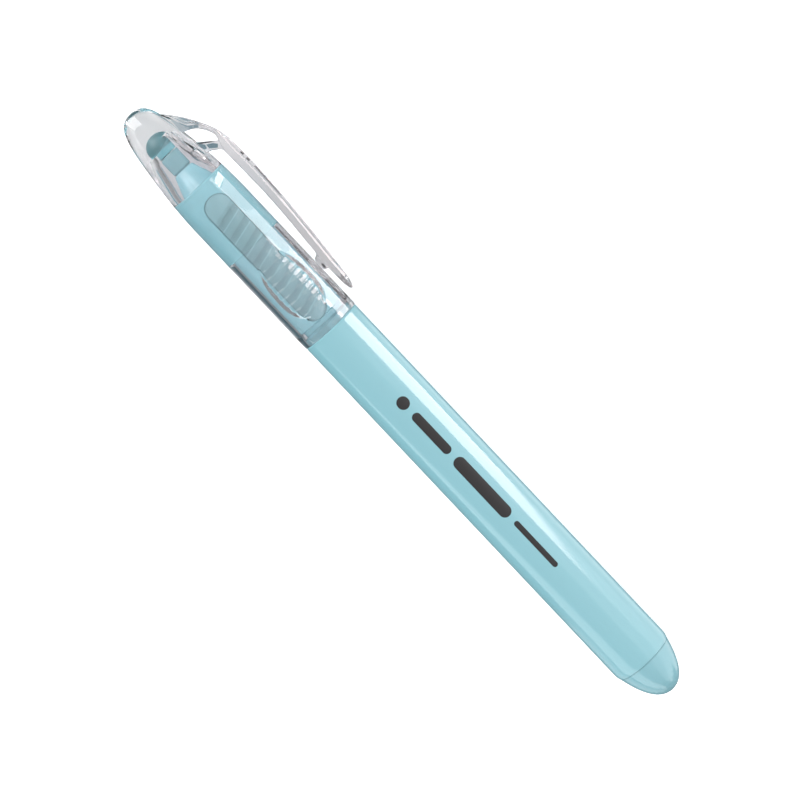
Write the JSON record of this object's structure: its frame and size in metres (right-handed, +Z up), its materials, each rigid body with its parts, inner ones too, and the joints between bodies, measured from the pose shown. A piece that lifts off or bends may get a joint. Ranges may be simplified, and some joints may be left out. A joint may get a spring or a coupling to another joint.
{
  "type": "highlighter",
  "caption": "Capped highlighter pen with a clear push-on cap, pocket clip, ribbed grip pads, flexible nib and a rounded tail plug.",
  "frame": {"origin": "on the pen's axis, where the cap's rim meets the barrel's shoulder", "axes": "+X along the pen's axis toward the tail, +Z up from the table that the pen lies on, resting on the cap and the clip's edge"},
  "size_m": [0.138, 0.0154, 0.0118],
  "materials": {
    "barrel": "glossy pastel blue moulding",
    "section": "glossy pastel blue moulding",
    "pad": "satin, ribbed",
    "collar": "glossy",
    "nib": "porous, wet with ink",
    "fibre": "ink-soaked polyester fibre",
    "film": "thin wrapping film",
    "plug": "satin-gloss pastel blue moulding",
    "clear": "clear colourless styrene"
  },
  "bodies": {
    "barrel": {"barrel": "barrel", "front_section": "section", "grip_pad_upper": "pad", "grip_pad_lower": "pad", "nib_collar": "collar", "nib_shank": "nib", "ink_reservoir": "fibre", "reservoir_film": "film", "tail_plug": "plug"},
    "nib": {"nib_tip": "nib"},
    "cap": {"cap_shell": "clear"},
    "clip": {"pocket_clip": "clear"}
  },
  "joints": [
    {"name": "cap_slide", "type": "slide", "parent": "barrel", "child": "cap", "axis": [-1, 0, 0], "range_m": [0, 0.06]},
    {"name": "clip_flex", "type": "hinge", "parent": "cap", "child": "clip", "pos_m": [-0.03499, 0.00886, -0.00419], "axis": [0, 0.4279, 0.9038], "range_deg": [0, 5], "stiffness_Nm_per_rad": 1.5},
    {"name": "nib_flex", "type": "hinge", "parent": "barrel", "child": "nib", "pos_m": [-0.04105, 0, 0], "axis": [0, 0.4279, 0.9038], "range_deg": [-4, 4], "stiffness_Nm_per_rad": 0.05}
  ]
}
